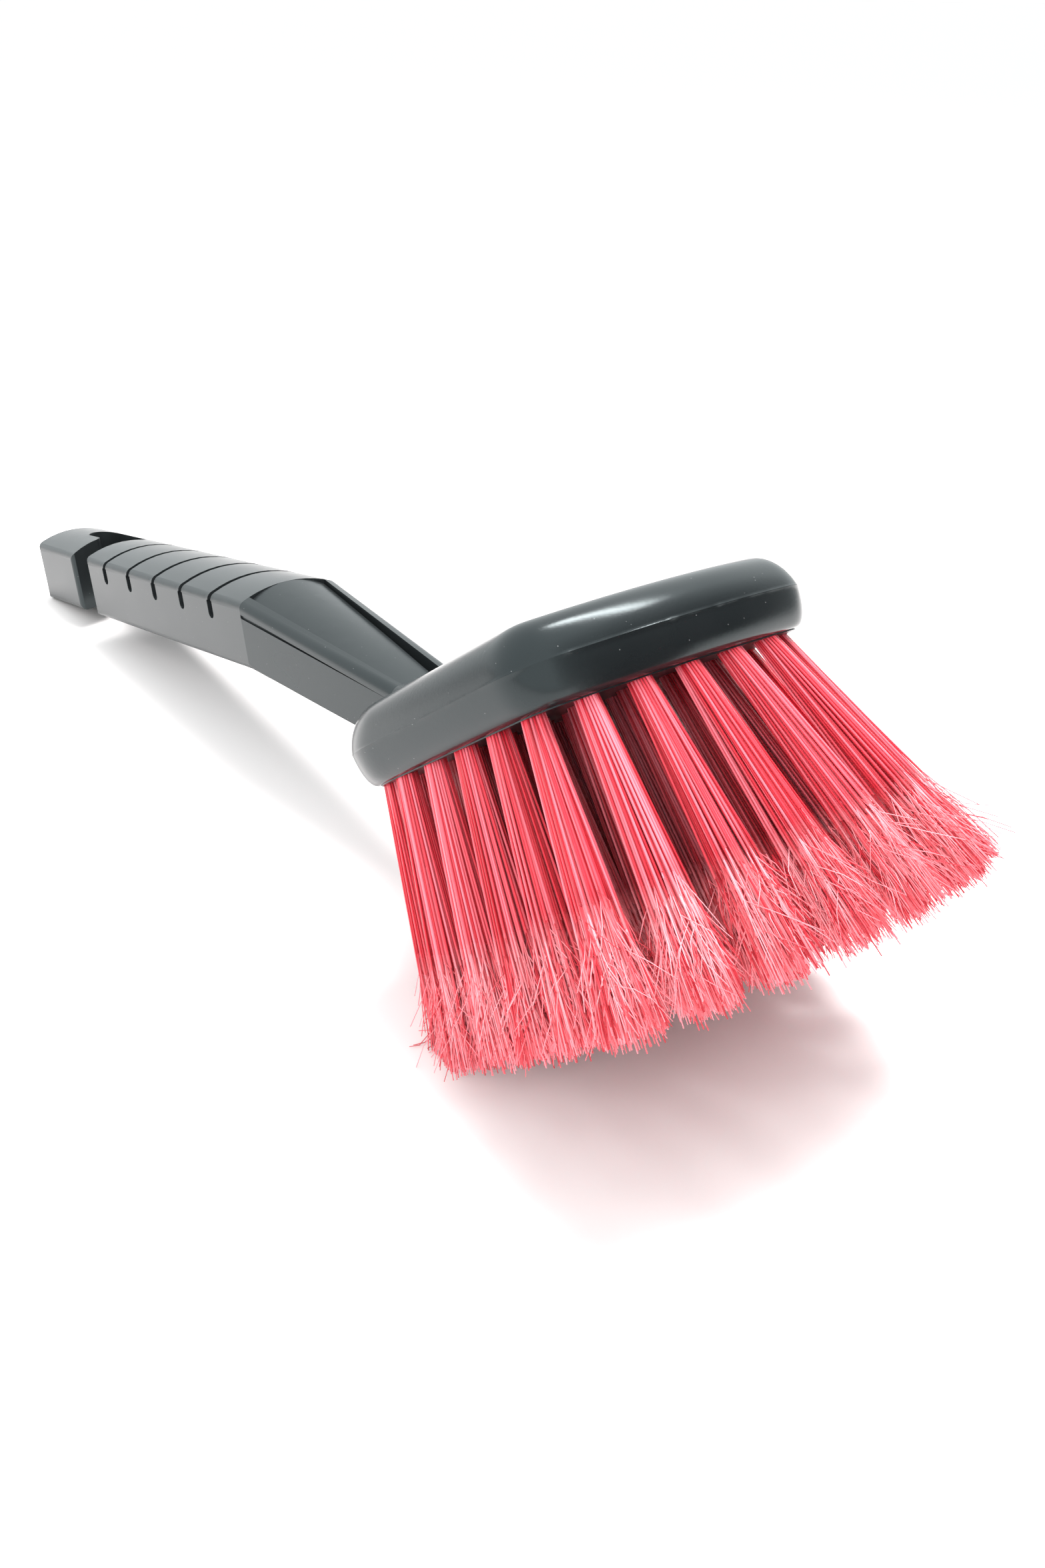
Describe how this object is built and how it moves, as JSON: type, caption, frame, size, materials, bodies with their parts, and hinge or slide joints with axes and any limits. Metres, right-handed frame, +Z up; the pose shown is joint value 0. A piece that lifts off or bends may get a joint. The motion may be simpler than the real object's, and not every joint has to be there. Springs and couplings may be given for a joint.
{
  "type": "wheel brush",
  "caption": "Short-handled wheel brush: cranked plastic handle with a side-opening hanging slot, square head in a rubber bumper, flared tufts with split tips.",
  "frame": {"origin": "middle of the footprint of the standing brush, on the floor plane", "axes": "+X from the handle's tail towards the head, +Z up, +Y to the side away from the hanging slot's mouth"},
  "size_m": [0.325, 0.0884, 0.087],
  "materials": {
    "handle_plastic": "moulded black polypropylene with a fine satin grain",
    "bumper_rubber": "smooth soft black rubber, semi-gloss, with a fine parting line",
    "bristles": "red translucent plastic filaments with split, paler tips",
    "staple_wire": "flat drawn wire"
  },
  "bodies": {
    "root": {"bumper": "bumper_rubber", "handle": "handle_plastic", "staples": "staple_wire", "tuft_centre": "bristles", "tuft_inner_01": "bristles", "tuft_inner_02": "bristles", "tuft_inner_03": "bristles", "tuft_inner_04": "bristles", "tuft_inner_05": "bristles", "tuft_inner_06": "bristles", "tuft_inner_07": "bristles", "tuft_inner_08": "bristles", "tuft_middle_01": "bristles", "tuft_middle_02": "bristles", "tuft_middle_03": "bristles", "tuft_middle_04": "bristles", "tuft_middle_05": "bristles", "tuft_middle_06": "bristles", "tuft_middle_07": "bristles", "tuft_middle_08": "bristles", "tuft_middle_09": "bristles", "tuft_middle_10": "bristles", "tuft_middle_11": "bristles", "tuft_middle_12": "bristles", "tuft_middle_13": "bristles", "tuft_middle_14": "bristles", "tuft_middle_15": "bristles", "tuft_outer_01": "bristles", "tuft_outer_02": "bristles", "tuft_outer_03": "bristles", "tuft_outer_04": "bristles", "tuft_outer_05": "bristles", "tuft_outer_06": "bristles", "tuft_outer_07": "bristles", "tuft_outer_08": "bristles", "tuft_outer_09": "bristles", "tuft_outer_10": "bristles", "tuft_outer_11": "bristles", "tuft_outer_12": "bristles", "tuft_outer_13": "bristles", "tuft_outer_14": "bristles", "tuft_outer_15": "bristles", "tuft_outer_16": "bristles", "tuft_outer_17": "bristles", "tuft_outer_18": "bristles", "tuft_outer_19": "bristles", "tuft_outer_20": "bristles", "tuft_outer_21": "bristles", "tuft_outer_22": "bristles"}
  },
  "joints": []
}
